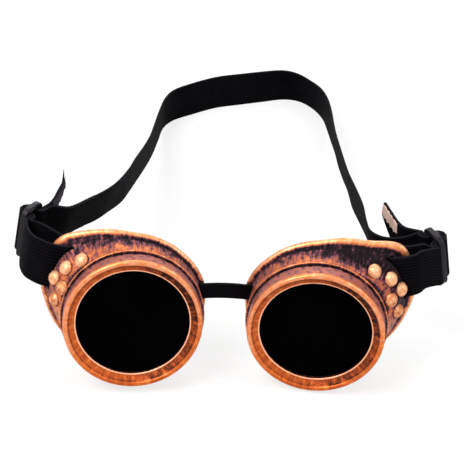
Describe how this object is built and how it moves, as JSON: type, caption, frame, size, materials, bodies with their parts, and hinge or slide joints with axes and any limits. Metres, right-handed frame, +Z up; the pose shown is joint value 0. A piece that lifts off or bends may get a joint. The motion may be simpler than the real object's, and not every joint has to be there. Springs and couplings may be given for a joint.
{
  "type": "round-lens goggles",
  "caption": "Round-lens goggles: two screw-ring eyecups on a nose strip, with an elastic head strap threaded through a sliding buckle at each temple.",
  "frame": {"origin": "under the middle of the bounding box, on the table that the goggles lie on", "axes": "+Z up, -Y the way the lenses face, +X to the wearer's left"},
  "size_m": [0.1859, 0.2972, 0.0636],
  "materials": {
    "antiqued_copper": "copper-plated plastic, black-antiqued and brushed",
    "brushed_copper": "brushed bright copper plate",
    "dark_lens": "gloss, near black",
    "clear_lens": "clear gloss",
    "black_rubber": "matte",
    "black_strip": "satin",
    "black_webbing": "ribbed elastic webbing",
    "black_buckle": "fine matte",
    "tan_edging": "thin scalloped tape"
  },
  "bodies": {
    "bridge": {"nose_bridge": "black_strip", "head_strap": "black_webbing"},
    "right_cup": {"right_eyecup": "antiqued_copper", "right_strap_loop": "black_webbing"},
    "right_lens_stack": {"right_dark_lens": "dark_lens", "right_clear_lens": "clear_lens", "right_lens_gasket": "black_rubber"},
    "right_ring": {"right_lens_ring": "brushed_copper"},
    "right_buckle": {"right_buckle": "black_buckle", "right_strap_tail": "black_webbing", "right_strap_edging": "tan_edging"},
    "left_cup": {"left_eyecup": "antiqued_copper", "left_strap_loop": "black_webbing"},
    "left_lens_stack": {"left_dark_lens": "dark_lens", "left_clear_lens": "clear_lens", "left_lens_gasket": "black_rubber"},
    "left_ring": {"left_lens_ring": "brushed_copper"},
    "left_buckle": {"left_buckle": "black_buckle", "left_strap_tail": "black_webbing", "left_strap_edging": "tan_edging"}
  },
  "joints": [
    {"name": "right_cup_turn", "type": "hinge", "parent": "bridge", "child": "right_cup", "pos_m": [-0.01446, -0.12599, 0.03726], "axis": [0, 0, 1], "range_deg": [-15, 15], "stiffness_Nm_per_rad": 0.004, "deforming": ["head_strap"]},
    {"name": "right_lens_lift", "type": "slide", "parent": "right_cup", "child": "right_lens_stack", "axis": [0.0416, -0.9919, 0.1201], "range_m": [0, 0.0045]},
    {"name": "right_ring_turn", "type": "hinge", "parent": "right_lens_stack", "child": "right_ring", "pos_m": [-0.0407, -0.1425, 0.03159], "axis": [0.0416, -0.9919, 0.1201], "range_deg": [0, 540]},
    {"name": "right_buckle_slide", "type": "slide", "parent": "right_cup", "child": "right_buckle", "axis": [-0.265, 0.9563, -0.1235], "range_m": [-0.001, 0.006], "deforming": ["head_strap", "right_strap_loop"]},
    {"name": "left_cup_turn", "type": "hinge", "parent": "bridge", "child": "left_cup", "pos_m": [0.00891, -0.12416, 0.03603], "axis": [0, 0, 1], "range_deg": [-15, 15], "stiffness_Nm_per_rad": 0.004, "deforming": ["head_strap"]},
    {"name": "left_lens_lift", "type": "slide", "parent": "left_cup", "child": "left_lens_stack", "axis": [-0.1426, -0.9898, 0], "range_m": [0, 0.0045]},
    {"name": "left_ring_turn", "type": "hinge", "parent": "left_lens_stack", "child": "left_ring", "pos_m": [0.0338, -0.1425, 0.0295], "axis": [-0.1426, -0.9898, 0], "range_deg": [0, 540]},
    {"name": "left_buckle_slide", "type": "slide", "parent": "left_cup", "child": "left_buckle", "axis": [0.603, 0.7975, -0.0202], "range_m": [-0.001, 0.006], "deforming": ["head_strap", "left_strap_loop"]}
  ],
  "couplings": [
    {"joint": "right_lens_lift", "follows": "right_ring_turn", "m_per_rad": 0.00047746},
    {"joint": "left_lens_lift", "follows": "left_ring_turn", "m_per_rad": 0.00047746}
  ]
}
